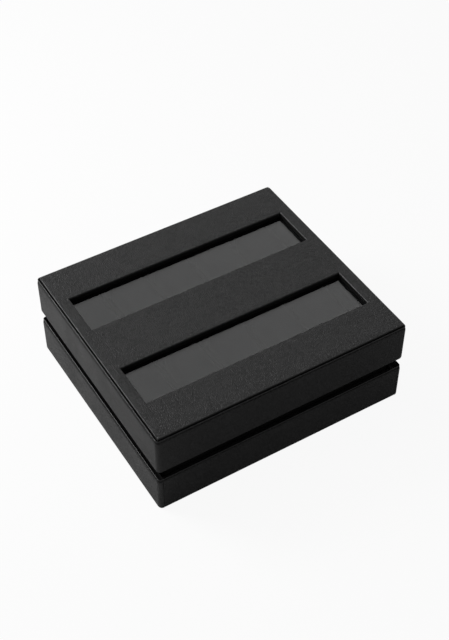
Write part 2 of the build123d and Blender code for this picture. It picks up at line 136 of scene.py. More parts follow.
def pick_faces(piece, test):
    """In edit mode, select the faces for which test(middle, normal) is true."""
    bpy.ops.mesh.select_mode(type="FACE")
    bpy.ops.mesh.select_all(action="DESELECT")
    mesh = bmesh.from_edit_mesh(piece.data)
    for face in mesh.faces:
        if test(face.calc_center_median(), face.normal):
            face.select_set(True)
    bmesh.update_edit_mesh(piece.data)


def pick_edges(piece, test):
    """In edit mode, select the edges for which test(one end, other end) is true."""
    bpy.ops.mesh.select_mode(type="EDGE")
    bpy.ops.mesh.select_all(action="DESELECT")
    mesh = bmesh.from_edit_mesh(piece.data)
    for edge in mesh.edges:
        if test(edge.verts[0].co, edge.verts[1].co):
            edge.select_set(True)
    bmesh.update_edit_mesh(piece.data)


def same(a, b, slack=0.02 * MM):
    """Whether two places along an axis are the same."""
    return abs(a - b) < slack


print("pieces in the packed model:", len(frame["nodes"]))

# %% [markdown]
# ## Blocks and cuts
# Most pieces of a box start as a block, so one helper adds a cube between two corners. A cube has
# only eight corners, though, and a wrapped surface needs more before it can swell. Cutting the
# whole surface with planes adds them evenly, and leaves the shape as it was.

# %% Helpers that make a block and cut it
slice_step = 6 * MM


def block(name, low, high):
    """Add a cube that fills the box between two corners."""
    low, high = Vector(low), Vector(high)
    for other in bpy.context.selected_objects:
        other.select_set(False)
    bpy.ops.mesh.primitive_cube_add(size=1, location=(low + high) / 2)
    piece = bpy.context.object
    piece.name = name
    piece.scale = high - low
    bpy.ops.object.transform_apply(location=True, rotation=True, scale=True)
    return piece


def slice_at(place, direction):
    """In edit mode, cut the whole surface with a plane."""
    bpy.ops.mesh.select_all(action="SELECT")
    bpy.ops.mesh.bisect(plane_co=place, plane_no=direction)


def slice_all(piece):
    """Cut the whole surface with planes along X, Y and Z, a step apart."""
    corners = [Vector(corner) for corner in piece.bound_box]
    edit(piece)
    for axis in range(3):
        low = min(corner[axis] for corner in corners)
        high = max(corner[axis] for corner in corners)
        count = int((high - low) / slice_step)
        direction = Vector([1.0 if i == axis else 0.0 for i in range(3)])
        for i in range(1, count):
            slice_at(direction * (low + (high - low) * i / count), direction)
    done()


def open_edges(piece):
    """Count the edges that don't have exactly two faces."""
    mesh = bmesh.new()
    mesh.from_mesh(piece.data)
    count = sum(not edge.is_manifold for edge in mesh.edges)
    mesh.free()
    return count


def apply_modifiers(piece):
    """Apply every modifier of the piece, in order."""
    only(piece)
    for modifier in list(piece.modifiers):
        bpy.ops.object.modifier_apply(modifier=modifier.name)


print("ready to model, in units of", MM, "metres")

# %% [markdown]
# ## Leather that isn't quite flat
# A hide glued over board keeps a faint swell, which shows where light grazes it. A Displace
# modifier with slow cloud noise moves the surface by a few hundredths of a millimetre. The noise
# is a formula, so it gives the same swell each time.

# %% Helper for the swell of a wrapped surface
swell = bpy.data.textures.new("hide_swell", "CLOUDS")
swell.noise_scale = 0.022
swell.noise_depth = 1


def let_swell(piece, height):
    """Move the surface in and out by a slow noise, height from lowest to highest."""
    modifier = piece.modifiers.new("swell", "DISPLACE")
    modifier.texture = swell
    modifier.texture_coords = "LOCAL"
    modifier.strength = height
    modifier.mid_level = 0.5
    apply_modifiers(piece)


print("swell, from crest to crest in mm:", swell.noise_scale / MM)

# %% [markdown]
# ## Shading, marks and bodies
# One material can't know where the hide is drawn tight, or where a face in shade is to get painted
# shade, so the mesh tells it. A mark is an attribute with one number for each face, 1 where it
# holds and 0 elsewhere, and the material reads it by name. Each finished piece is then seated: it
# rides on its body, names its finish and stands in for the imported pieces that it dresses.

# %% Helpers that finish a piece
def smooth(piece, degrees=38):
    """Shade the piece smooth, apart from edges sharper than this."""
    only(piece)
    bpy.ops.object.shade_smooth_by_angle(angle=radians(degrees))


def let_hide_swell(piece, height):
    """Give the surface more points, let it swell by a height and shade it smooth."""
    slice_all(piece)
    let_swell(piece, height)
    smooth(piece)


def mark_faces(piece, mark, test):
    """Give the faces for which test(middle, normal) is true a mark that materials can read."""
    mask = piece.data.attributes.new(mark, "FLOAT", "FACE")
    count = 0
    for face in piece.data.polygons:
        if test(face.center, face.normal):
            mask.data[face.index].value = 1.0
            count += 1
    print(piece.name, mark, "faces:", count)


def seat(piece, body, slot, *nodes):
    """Let the piece ride on a body, take a finish, and stand for the CAD nodes named."""
    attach(piece, body)
    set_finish(piece, slot)
    if nodes:
        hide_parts(*nodes)
    print(piece.name, "faces:", len(piece.data.polygons))


# %% [markdown]
# ## One moulding for both tiers
# Each tier is a ring of board wrapped in leather. Seen in section, its upright face leans in at a
# soft shoulder, dips into a crease and ends in a thin raised rim. It could be a profile swept
# along a path, but a box that is grown face by face keeps its corners square to the sides. So a
# cube gets rounded corners, its top face is inset and raised step by step along the section, then
# sunk down the inside, and the bottom face is drawn in to meet it.

# %% Sizes of the moulding
corner_radius = 4.5 * MM
corner_steps = 8
shoulder_steps = [(0.15 * MM, 1.2 * MM), (0.25 * MM, 1.0 * MM), (0.35 * MM, 0.8 * MM)]
shoulder_height = sum(rise for inset, rise in shoulder_steps)
shoulder_run = sum(inset for inset, rise in shoulder_steps)
crease_setback = 1.2 * MM
crease_dip = 0.35 * MM
rim_setback = 0.75 * MM
rim_width = 1.15 * MM
rim_height = 2.1 * MM
rim_rounding = 0.55 * MM
rim_inside = rim_setback + rim_width
ridge_depth = 1.2 * MM
print("shoulder height in mm:", round(shoulder_height / MM, 2))

# %% [markdown]
# ## Drawing a face in
# Inset does in Blender what a moulding plane does in wood: each stroke makes the top face a little
# smaller and moves it up or down. A rounded edge is a few such strokes along a quarter circle.
# Inset only goes inwards, so where the section runs back outwards the face is extruded and scaled
# to its new size. The same is done for the long strokes down the inside.

# %% Helpers that follow a section
def quarter_steps(radius, count, falling):
    """Insets and rises that follow a quarter circle, drawn in from a side to a top."""
    steps = []
    for i in range(count):
        a, b = radians(90 * i / count), radians(90 * (i + 1) / count)
        inset = radius * (cos(a) - cos(b))
        rise = radius * (sin(b) - sin(a))
        steps.append((rise, -inset) if falling else (inset, rise))
    return steps


def draw_in(steps):
    """Inset the selected face and move it along its normal, once for each step."""
    for inset, rise in steps:
        bpy.ops.mesh.inset(thickness=inset, depth=rise, use_even_offset=True)


def draw_to(inset, new_inset, rise):
    """Extrude the selected face by a rise, and scale it from one inset of the box to another."""
    bpy.ops.mesh.extrude_region_move(TRANSFORM_OT_translate={"value": (0, 0, rise)})
    if new_inset != inset:
        bpy.ops.transform.resize(value=((packed_high.x - new_inset) / (packed_high.x - inset),
                                        (packed_high.y - new_inset) / (packed_high.y - inset), 1),
                                 center_override=(0, 0, 0))


print("a quarter circle in three strokes, in mm:",
      [(round(inset / MM, 2), round(rise / MM, 2))
       for inset, rise in quarter_steps(rim_rounding, 3, falling=False)])

# %% [markdown]
# ## Growing a ring
# The cube's upright edges are rounded first, so that every later stroke follows the round corners.
# After the last stroke down the inside, the top face is deleted and leaves an open edge. The
# bottom face is drawn in to the same line and deleted too, and a bridge between both edges closes
# the ring.

# %% Helper that grows a tier
def tier_ring(name, low, crease, bottom_roll, inner_section):
    """Grow a tier's ring. The inner section is a list of (inset from outside, level)."""
    half_x, half_y = packed_high.x, packed_high.y
    shoulder = crease - shoulder_height
    ring = block(name, (-half_x, -half_y, low + bottom_roll), (half_x, half_y, shoulder))
    edit(ring)
    pick_edges(ring, lambda a, b: same(a.x, b.x) and same(a.y, b.y))
    bpy.ops.mesh.bevel(offset=corner_radius, segments=corner_steps)
    pick_faces(ring, lambda middle, normal: normal.z > 0.9)
    draw_in(shoulder_steps)
    draw_in([(crease_setback - shoulder_run, -crease_dip)])
    draw_to(crease_setback, rim_setback, crease_dip + rim_height - rim_rounding)
    draw_in(quarter_steps(rim_rounding, 3, falling=False))
    draw_in([(rim_width - 2 * rim_rounding, 0)])
    draw_in(quarter_steps(rim_rounding, 3, falling=True))
    inset, level = rim_inside, crease + rim_height - rim_rounding
    for new_inset, new_level in inner_section:
        if new_inset > inset:
            draw_to(inset, new_inset, 0)
        if new_level < level:
            draw_to(new_inset, new_inset, new_level - level)
        inset, level = new_inset, new_level
    bpy.ops.mesh.delete(type="ONLY_FACE")
    pick_faces(ring, lambda middle, normal: normal.z < -0.9 and same(middle.z, low + bottom_roll)
               and abs(middle.x) < MM and abs(middle.y) < MM)
    draw_in(quarter_steps(bottom_roll, 6 if bottom_roll > MM else 3, falling=False))
    bpy.ops.mesh.delete(type="ONLY_FACE")
    pick_edges(ring, lambda a, b: same(a.z, low) and same(b.z, low))
    bpy.ops.mesh.bridge_edge_loops()
    bpy.ops.mesh.select_all(action="SELECT")
    bpy.ops.mesh.normals_make_consistent(inside=False)
    done()
    print(name, "open edges:", open_edges(ring))
    return ring


def inset_of(place):
    """How far a place lies in from the nearest outer side."""
    return min(packed_high.x - abs(place.x), packed_high.y - abs(place.y))


def in_crease(middle, crease):
    """Whether a face lies in the crease of a tier, between its shoulder and its rim."""
    return (same(middle.z, crease - crease_dip / 2, crease_dip)
            and shoulder_run < inset_of(middle) < rim_inside)


def drawn_tight(middle, crease):
    """Whether a face lies on the ridge of a tier's shoulder or on its rim."""
    return (middle.z > crease - ridge_depth and inset_of(middle) < rim_inside
            and not in_crease(middle, crease))


print("rim from", round(rim_setback / MM, 2), "to", round(rim_inside / MM, 2), "mm in")

# %% [markdown]
# ## The lid's leather wall
# Inside its rim the lid's ring drops to a ledge that carries the window frame, then falls straight
# to the rolled lower edge. That edge is a quarter circle of four millimetres, because the hide
# turns under the wall there and hangs over the shadow gap. The hem, the crease and the inside of
# the rim are marked for painted shade, a near-black colour where shade falls, and the ridge and the
# rim as turned, where tight hide shines.

# %% Grow the lid's wall
lid_low, lid_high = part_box("lid_wall")
ledge_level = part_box("lid_rail_front")[0].z
lid_inner = packed_high.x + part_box("lid_board_left")[0].x
lid_roll = 4 * MM
lid_crease = lid_high.z - rim_height
hem_height = 3.2 * MM
edge_slack = 0.05 * MM
lid_leather = tier_ring("lid_wall_leather", lid_low.z, lid_crease, lid_roll,
                        [(rim_inside, ledge_level), (lid_inner, lid_low.z)])
let_hide_swell(lid_leather, height=0.12 * MM)
# Painted shade: the inside of the rim, the crease and the turned-under hem are coloured near black,
# where their shade falls.
mark_faces(lid_leather, "dyed", lambda middle, normal: middle.z > ledge_level - MM
           and inset_of(middle) > rim_inside - edge_slack
           or in_crease(middle, lid_crease) or middle.z < lid_low.z + hem_height)
mark_faces(lid_leather, "turned", lambda middle, normal: drawn_tight(middle, lid_crease))
seat(lid_leather, "lid", "leather", "lid_wall")

# %% [markdown]
# ## The case's leather wall and the drawer front
# The maker would turn one moulding round the case and then let the drawer take its front. So the
# same ring is grown twice, and the front is cut out of the second one. The drawer front is the same
# ring kept only between the seams, which lets the shoulder and rim run through without a step.

# %% Grow the case's ring and cut it in two
case_low, case_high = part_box("case_wall")
front_low, front_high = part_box("drawer_front")
case_crease = case_high.z - rim_height
case_lip = 3 * MM
case_ledge = 36 * MM
case_wall_inset = 8 * MM
seam_gap = 0.3 * MM
seam = front_high.x + seam_gap
lip_back = packed_low.y + case_lip
channel_floor = 34 * MM
neck_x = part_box("neck_right")[1].x


def combine(piece, low, high, operation):
    """Take a box out of the piece, keep only what lies inside the box, or join it on."""
    box = block("box", low, high)
    modifier = piece.modifiers.new("combine", "BOOLEAN")
    modifier.object = box
    modifier.operation = operation
    modifier.solver = "EXACT"
    apply_modifiers(piece)
    bpy.data.objects.remove(box, do_unlink=True)


bottom_turn = 0.25 * MM
ring_steps = [(rim_inside, case_crease), (case_lip, case_ledge),
              (case_wall_inset, case_low.z)]
case_leather = tier_ring("case_wall_leather", case_low.z, case_crease, bottom_turn, ring_steps)
front_leather = tier_ring("drawer_front_leather", case_low.z, case_crease, bottom_turn, ring_steps)

past = 5 * MM
combine(case_leather, (-seam, packed_low.y - past, case_low.z - past),
        (seam, lip_back, case_high.z + past), "DIFFERENCE")
combine(case_leather, (-neck_x, packed_low.y - past, case_low.z - past),
        (neck_x, packed_low.y + case_wall_inset + past, case_high.z + past), "DIFFERENCE")
combine(front_leather, (-front_high.x, packed_low.y - past, front_low.z),
        (front_high.x, lip_back, case_high.z + past), "INTERSECT")
print("case wall and drawer front cut at", round(seam / MM, 2), "mm")

# %% [markdown]
# ## The drawer front's inner block
# Behind its lip the drawer front is a solid block, which the screws from the drawer box bite into.
# The block stops below the lip and leaves a channel for the fingertips. The helper that cut the
# ring also joins it, and the two upright edges at the seams then get a small bevel, as turned hide
# has.

# %% Give the drawer front its inner block and finish both
seam_bevel = 0.35 * MM
overlap = 0.5 * MM
block_play = 0.5 * MM
block_side = neck_x - block_play
combine(front_leather, (-block_side, lip_back - overlap, front_low.z),
        (block_side, front_high.y, channel_floor), "UNION")

for shell, body, node in ((case_leather, "case", "case_wall"),
                          (front_leather, "drawer", "drawer_front")):
    edit(shell)
    bpy.ops.mesh.select_all(action="SELECT")
    bpy.ops.mesh.remove_doubles(threshold=0.001 * MM)
    pick_edges(shell, lambda a, b: same(a.x, b.x) and same(a.y, b.y)
               and same(abs(a.x), seam if shell is case_leather else front_high.x)
               and same(a.y, packed_low.y))
    bpy.ops.mesh.bevel(offset=seam_bevel, segments=3)
    done()
    let_hide_swell(shell, height=0.1 * MM)
    # Painted shade: the crease and all faces inside the rim are coloured near black, where shade
    # falls in the crease, channel and gap.
    mark_faces(shell, "dyed", lambda middle, normal: in_crease(middle, case_crease)
               or inset_of(middle) > rim_inside - edge_slack)
    mark_faces(shell, "turned", lambda middle, normal: drawn_tight(middle, case_crease))
    seat(shell, body, "leather", node)
    print(shell.name, "open edges:", open_edges(shell))

# %% [markdown]
# ## The panel in the top of the lid
# The top is one sheet of board under leather, laid inside the rim with a narrow black groove round
# it, and pierced by the two windows. It is cut from a slab with planes along the window edges, so
# the holes get straight walls when top and bottom are bridged.

# %% Cut the top panel
panel_low, panel_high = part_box("lid_top_panel")
hide_thickness = Vector((0.25 * MM, 0.25 * MM, 0))
panel_low, panel_high = panel_low - hide_thickness, panel_high + hide_thickness
window_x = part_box("lid_rail_middle")[1].x
window_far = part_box("lid_rail_back")[0].y
window_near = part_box("lid_rail_middle")[1].y


def near_window(place, side):
    """Whether a place lies in the window on this side, or on its outline."""
    return (abs(place.x) < window_x + MM
            and window_near - MM < side * place.y < window_far + MM)


def on_window_line(a, b):
    """Whether an edge runs along a line that a window's side lies on."""
    return (same(a.x, b.x) and same(abs(a.x), window_x)
            or same(a.y, b.y) and (same(abs(a.y), window_near) or same(abs(a.y), window_far)))


top_panel = block("top_panel_leather", panel_low, panel_high)
edit(top_panel)
for place in (-window_x, window_x):
    slice_at((place, 0, 0), (1, 0, 0))
for place in (-window_far, -window_near, window_near, window_far):
    slice_at((0, place, 0), (0, 1, 0))
for side in (-1, 1):
    pick_faces(top_panel, lambda middle, normal: abs(normal.z) > 0.9 and abs(middle.x) < window_x
               and window_near < side * middle.y < window_far)
    bpy.ops.mesh.delete(type="FACE")
    pick_edges(top_panel, lambda a, b: same(a.z, b.z) and on_window_line(a, b)
               and near_window(a, side) and near_window(b, side))
    bpy.ops.mesh.bridge_edge_loops()
print("windows in mm:", round(2 * window_x / MM, 1), "by",
      round((window_far - window_near) / MM, 1))

# %% [markdown]
# ## Turning the panel's edges
# The hide turns over the upper edges of the outline and of both windows in a small radius, where
# it is tight and catches the light. These edges are told from the cuts across the top face by where
# they lie: on the panel's side, or on a window's side between its corners. The walls below them get
# painted shade, a near-black colour that stands for the shade in the groove and the windows.

# %% Round the panel's edges and finish it
panel_turn = 0.7 * MM


def on_panel_edge(a, b):
    """Whether an edge of the top face lies on the panel's outline or on a window's."""
    if not (same(a.z, panel_high.z) and same(b.z, panel_high.z)):
        return False
    outline = (same(a.x, b.x) and same(abs(a.x), panel_high.x)
               or same(a.y, b.y) and same(abs(a.y), panel_high.y))
    middle = (a + b) / 2
    in_window = near_window(middle, 1) or near_window(middle, -1)
    return outline or in_window and on_window_line(a, b)


pick_edges(top_panel, on_panel_edge)
bpy.ops.mesh.bevel(offset=panel_turn, segments=6)
bpy.ops.mesh.select_all(action="SELECT")
bpy.ops.mesh.normals_make_consistent(inside=False)
done()
let_hide_swell(top_panel, height=0.12 * MM)
# Painted shade: the panel's outer side and the window walls below the turn are coloured near black,
# as shade in the groove and the windows.
mark_faces(top_panel, "dyed", lambda middle, normal: abs(normal.z) < 0.2
           and middle.z < panel_high.z - panel_turn + edge_slack)
mark_faces(top_panel, "turned", lambda middle, normal: 0.15 < normal.z < 0.98
           and middle.z > panel_high.z - panel_turn)
seat(top_panel, "lid", "leather", "lid_top_panel")

# %% [markdown]
# ## Panes
# Each pane is float glass with its edges ground to a small bevel, so that it doesn't crack in its
# rebate. A slab with every edge bevelled is all that it is on the real box too. Its look comes from
# its material, a faint smoke that hides the tray behind the reflections.

# %% Make the panes
for row in ("front", "back"):
    low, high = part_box(f"glass_{row}")
    pane = block(f"pane_{row}", low, high)
    edit(pane)
    bpy.ops.mesh.select_all(action="SELECT")
    bpy.ops.mesh.bevel(offset=0.4 * MM, segments=2)
    done()
    smooth(pane, 20)
    seat(pane, "lid", "glass", f"glass_{row}")

# %% [markdown]
# ## Boards, leaves and screws
# The imported pieces are true in size but their edges are as sharp as drawn. A real board is sanded
# and wrapped, and a hinge leaf is tumbled. So each one is copied, its triangles are merged back
# into flat faces, and a bevel modifier eases its edges. The width is a share of a millimetre, and
# less on the metal. The board behind the drawer's lip shows in the shadow gap, so its front and top
# get painted shade, a near-black colour that stands for the shade in the gap.

# %% Ease the edges of the plain pieces
def eased_copy(node, name, width, segments=3):
    """Copy a CAD node, merge its triangles and round its edges."""
    source = frame["nodes"][node]
    piece = bpy.data.objects.new(name, source.data.copy())
    bpy.context.scene.collection.objects.link(piece)
    edit(piece)
    bpy.ops.mesh.select_all(action="SELECT")
    bpy.ops.mesh.remove_doubles(threshold=0.002 * MM)
    bpy.ops.mesh.dissolve_limited(angle_limit=radians(2))
    done()
    modifier = piece.modifiers.new("edges", "BEVEL")
    modifier.width = width
    modifier.segments = segments
    modifier.limit_method = "ANGLE"
    modifier.angle_limit = radians(40)
    modifier.use_clamp_overlap = True
    apply_modifiers(piece)
    smooth(piece, 50)
    return piece


wrapped_board = 0.7 * MM
bare_board = 0.4 * MM
metal_edge = 0.12 * MM
finish_of = {entry["node"]: entry["material_slot"] for entry in frame["record"]["subparts"]}
edge_of_finish = {"neck_wrap": wrapped_board, "velvet": 0.4 * MM, "board": bare_board,
                  "frame_board": 0.25 * MM, "runner_strip": 0.2 * MM, "felt": 0.3 * MM,
                  "hinge_metal": metal_edge, "screw_metal": metal_edge}
body_of_node = {node: body for body, nodes in frame["record"]["behaviour"]["bodies"].items()
                for node in nodes}
for node, finish in finish_of.items():
    if finish in edge_of_finish:
        piece = eased_copy(node, f"{node}_dressed", edge_of_finish[finish])
        if node == "drawer_box_front":
            # Painted shade: the front and top of this board are coloured near black, as the shade
            # in the gap above the drawer's lip.
            mark_faces(piece, "dyed", lambda middle, normal: normal.y < -0.3 or normal.z > 0.3)
        seat(piece, body_of_node[node], finish, node)

# %% [markdown]
# ## Watch pillows
# A watch pillow is a foam block sewn into a leatherette sleeve, with a capped seam round each end.
# The foam pushes the sleeve out between the seams. That is a job for the cloth solver: a slightly
# smaller block swells under pressure until the sleeve is taut, while both ends are held where their
# seams are. It is done once, and each of the ten bays gets its own copy of the mesh.

# %% Cut one block of foam
pillow_nodes = [node for node, finish in finish_of.items() if finish == "pillow_leather"]
first_low, first_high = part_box(pillow_nodes[0])
pillow_size = first_high - first_low
pillow_shrink = 2.0 * MM
pillow_corner = 10 * MM
pillow_voxel = 2.6 * MM
swell_cap = 1.9 * MM
end_panel = 3 * MM
end_turn = 4 * MM
swell_frames = 20


def pillow_block():
    """A block of foam about the origin of X and Y, standing on z = 0, with rounded long edges."""
    half_x = pillow_size.x / 2 - pillow_shrink
    half_y = pillow_size.y / 2 - pillow_shrink
    piece = block("pillow", (-half_x, -half_y, pillow_shrink),
                  (half_x, half_y, pillow_size.z - pillow_shrink))
    edit(piece)
    pick_edges(piece, lambda a, b: same(a.x, b.x) and same(a.z, b.z))
    bpy.ops.mesh.bevel(offset=pillow_corner, segments=5)
    pick_edges(piece, lambda a, b: same(a.y, b.y) and same(abs(a.y), half_y))
    bpy.ops.mesh.bevel(offset=end_turn, segments=3)
    done()
    return piece


pillow = pillow_block()
remesh = pillow.modifiers.new("even_mesh", "REMESH")
remesh.mode = "VOXEL"
remesh.voxel_size = pillow_voxel
apply_modifiers(pillow)
print("pillow points before it swells:", len(pillow.data.vertices))

# %% [markdown]
# ## Swelling the sleeve
# The solver runs for twenty frames with gravity off, so the pillow swells without sinking. It gives
# the same result each time. The move of each point is then capped, which keeps the pillow inside
# the space of its bay.

# %% Swell the pillow
before = [vertex.co.copy() for vertex in pillow.data.vertices]
seam_line = pillow_size.y / 2 - pillow_shrink - end_panel
held = pillow.vertex_groups.new(name="held_by_seams")
held.add([vertex.index for vertex in pillow.data.vertices
          if abs(vertex.co.y) > seam_line - MM], 1.0, "REPLACE")
cloth = pillow.modifiers.new("Cloth", "CLOTH")
cloth.settings.quality = 6
cloth.settings.mass = 0.3
cloth.settings.vertex_group_mass = "held_by_seams"
cloth.settings.use_pressure = True
cloth.settings.uniform_pressure_force = 4
cloth.settings.effector_weights.gravity = 0
cloth.point_cache.frame_start = 1
cloth.point_cache.frame_end = swell_frames
for step in range(1, swell_frames + 1):
    bpy.context.scene.frame_set(step)
apply_modifiers(pillow)
for vertex, start in zip(pillow.data.vertices, before):
    move = vertex.co - start
    if move.length > swell_cap:
        vertex.co = start + move.normalized() * swell_cap
bpy.context.scene.frame_set(1)
print("pillow size in mm:", [round(side / MM, 1) for side in pillow.dimensions])

# %% [markdown]
# ## Welts
# A welt is a thin cord in a strip of leather, sewn into the seam to hide the stitches. Its path is
# the outline of the end panel: a plane with its corners rounded, of which only the edge is kept. As
# a curve with a round bevel it becomes a tube, which is joined to the pillow as a mesh.

# %% Sew a welt along each end
welt_radius = 0.75 * MM
welt_stand_out = 0.5 * MM


def welt(y):
    """A thin cord of leather round the pillow's outline, at a place along Y."""
    for other in bpy.context.selected_objects:
        other.select_set(False)
    half_x = pillow_size.x / 2 - pillow_shrink + welt_stand_out
    half_z = pillow_size.z / 2 - pillow_shrink + welt_stand_out
    bpy.ops.mesh.primitive_plane_add(size=1, location=(0, y, pillow_size.z / 2),
                                     rotation=(radians(90), 0, 0))
    cord = bpy.context.object
    cord.scale = (2 * half_x, 2 * half_z, 1)
    bpy.ops.object.transform_apply(location=True, rotation=True, scale=True)
    bpy.ops.object.mode_set(mode="EDIT")
    bpy.ops.mesh.select_all(action="SELECT")
    bpy.ops.mesh.bevel(offset=pillow_corner, segments=7, affect="VERTICES")
    bpy.ops.mesh.delete(type="ONLY_FACE")
    bpy.ops.object.mode_set(mode="OBJECT")
    bpy.ops.object.convert(target="CURVE")
    cord.data.bevel_depth = welt_radius
    cord.data.bevel_resolution = 3
    bpy.ops.object.convert(target="MESH")
    return cord


soften = pillow.modifiers.new("soften", "SUBSURF")
soften.levels = soften.render_levels = 1
apply_modifiers(pillow)
welts = [welt(side * (pillow_size.y / 2 - pillow_shrink - end_panel)) for side in (-1, 1)]
only(pillow)
for cord in welts:
    cord.select_set(True)
bpy.ops.object.join()
smooth(pillow, 60)
print("pillow faces with both welts:", len(pillow.data.polygons))

# %% [markdown]
# ## Ten bays
# Every pillow is a copy with a mesh of its own, moved by its points and not by its object, so that
# the grain doesn't slide when the box is exported. All stand on the floor of their bays.

# %% Copy the pillow into each bay
lift = -min(vertex.co.z for vertex in pillow.data.vertices)
for node in pillow_nodes:
    low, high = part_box(node)
    place = Vector(((low.x + high.x) / 2, (low.y + high.y) / 2, low.z + lift))
    copy = bpy.data.objects.new(f"{node}_cushion", pillow.data.copy())
    bpy.context.scene.collection.objects.link(copy)
    for vertex in copy.data.vertices:
        vertex.co += place
    seat(copy, "case", "pillow_leather", node)
bpy.data.objects.remove(pillow, do_unlink=True)

# %% [markdown]
# ## Grain, pile and other shared effects
# Several finishes share the same few effects, so each effect is a node group with its own inputs.
# A group gives out only masks and heights, and the shader stays in the material.

# %% Helpers that place nodes
def new_group(name, inputs, outputs):
    """Start a shader node group with float or vector inputs and float outputs."""
    group = bpy.data.node_groups.new(name, "ShaderNodeTree")
    for label, kind, value in inputs:
        socket = group.interface.new_socket(label, in_out="INPUT", socket_type=kind)
        if value is not None:
            socket.default_value = value
    for label in outputs:
        group.interface.new_socket(label, in_out="OUTPUT", socket_type="NodeSocketFloat")
    return group, group.nodes.new("NodeGroupInput"), group.nodes.new("NodeGroupOutput")


def feed(tree, socket, value):
    """Give a socket a number, a colour or another node's output."""
    if isinstance(value, bpy.types.NodeSocket):
        tree.links.new(value, socket)
    elif isinstance(value, tuple):
        socket.default_value = (*value, 1)
    else:
        socket.default_value = value


def math_node(tree, operation, a, b, clamp=False):
    """Add a Math node. Each input is a number or another node's output."""
    node = tree.nodes.new("ShaderNodeMath")
    node.operation = operation
    node.use_clamp = clamp
    feed(tree, node.inputs[0], a)
    feed(tree, node.inputs[1], b)
    return node.outputs[0]


def ramp(tree, value, low, high, to_low=0.0, to_high=1.0):
    """Map a value from one range to another, smoothly and within its ends."""
    node = tree.nodes.new("ShaderNodeMapRange")
    node.interpolation_type = "SMOOTHSTEP"
    tree.links.new(value, node.inputs["Value"])
    node.inputs["From Min"].default_value = low
    node.inputs["From Max"].default_value = high
    node.inputs["To Min"].default_value = to_low
    node.inputs["To Max"].default_value = to_high
    return node.outputs["Result"]


def noise(tree, vector, scale, detail=2.0, rough=0.5, distortion=0.0):
    """Add a noise texture and return its value."""
    node = tree.nodes.new("ShaderNodeTexNoise")
    node.inputs["Detail"].default_value = detail
    node.inputs["Roughness"].default_value = rough
    node.inputs["Distortion"].default_value = distortion
    feed(tree, node.inputs["Scale"], scale)
    feed(tree, node.inputs["Vector"], vector)
    return node.outputs["Fac"]


def cells(tree, vector, scale, feature="F1"):
    """Add a Voronoi texture and return its distance."""
    node = tree.nodes.new("ShaderNodeTexVoronoi")
    node.feature = feature
    feed(tree, node.inputs["Scale"], scale)
    feed(tree, node.inputs["Vector"], vector)
    return node.outputs["Distance"]


print("node groups so far:", len(bpy.data.node_groups))

# %% [markdown]
# ## Pebbled grain
# Grained leather is a field of small pebbles with creases between them. Voronoi cells give the
# creases, as the distance to a cell's border, and two noises break up the pebbles, one finer and
# one coarser. The creases and a patchy noise come out as masks, so that the tone can follow them.

# %% Node group: pebbled grain
pebble_wall = 0.32
pebble_share, fine_share, coarse_share = 0.7, 0.35, 0.3
fine_per_pebble, coarse_per_pebble, patch_per_pebble = 2.3, 0.22, 0.75
grain, group_in, group_out = new_group(
    "pebbled_grain",
    [("Vector", "NodeSocketVector", None), ("Pebbles per metre", "NodeSocketFloat", 900.0)],
    ["Height", "Creases", "Mottle"])
place = group_in.outputs["Vector"]
density = group_in.outputs["Pebbles per metre"]
borders = cells(grain, place, density, "DISTANCE_TO_EDGE")
pebbles = ramp(grain, borders, 0.0, pebble_wall)
fine = noise(grain, place, math_node(grain, "MULTIPLY", density, fine_per_pebble), 3.0, 0.6)
coarse = noise(grain, place, math_node(grain, "MULTIPLY", density, coarse_per_pebble), 2.0, 0.5)
height = math_node(grain, "ADD", math_node(grain, "MULTIPLY", pebbles, pebble_share),
                   math_node(grain, "MULTIPLY", fine, fine_share))
height = math_node(grain, "ADD", height, math_node(grain, "MULTIPLY", coarse, coarse_share))
grain.links.new(height, group_out.inputs["Height"])
grain.links.new(math_node(grain, "SUBTRACT", 1.0, pebbles), group_out.inputs["Creases"])
patchy = noise(grain, place, math_node(grain, "MULTIPLY", density, patch_per_pebble), 2.0, 0.7)
grain.links.new(ramp(grain, patchy, 0.32, 0.68), group_out.inputs["Mottle"])
print("groups:", [group.name for group in bpy.data.node_groups])

# %% [markdown]
# ## Pile and handling
# Velvet is a field of tufts that lean where a hand has brushed them, so its group has small cells
# for height and a wide, slightly twisted noise for the lean. Handling leaves soft clouds on leather
# and glass alike, and both take them from one group.

# %% Node groups: pile of velvet, and handling marks
pile, group_in, group_out = new_group(
    "short_pile",
    [("Vector", "NodeSocketVector", None), ("Tufts per metre", "NodeSocketFloat", 2500.0)],
    ["Height", "Brushed"])
place = group_in.outputs["Vector"]
density = group_in.outputs["Tufts per metre"]
tufts = cells(pile, place, density)
pile.links.new(math_node(pile, "SUBTRACT", 1.0, tufts), group_out.inputs["Height"])
brushed = noise(pile, place, 38.0, 3.0, 0.55, 0.6)
pile.links.new(ramp(pile, brushed, 0.35, 0.65), group_out.inputs["Brushed"])

marks, group_in, group_out = new_group(
    "handling_marks", [("Vector", "NodeSocketVector", None), ("Size", "NodeSocketFloat", 30.0)],
    ["Cloudy"])
place = group_in.outputs["Vector"]
cloudy = noise(marks, place, group_in.outputs["Size"], 4.0, 0.6, 0.4)
marks.links.new(ramp(marks, cloudy, 0.3, 0.7), group_out.inputs["Cloudy"])
print("groups:", [group.name for group in bpy.data.node_groups])

# %% [markdown]
# ## Materials
# Each finish starts from its own colour and roughness, and takes its relief and its small changes
# of tone from the groups. The helpers below start a material, mix colours or whole shaders by a
# mask, read a mark, and paint the marked faces near black as painted shade.

# %% Helpers that build a material
# Colour of painted shade: near black on faces in creases, grooves, window walls and the shadow gap.
painted_shade_colour = (0.0012, 0.0012, 0.0012)


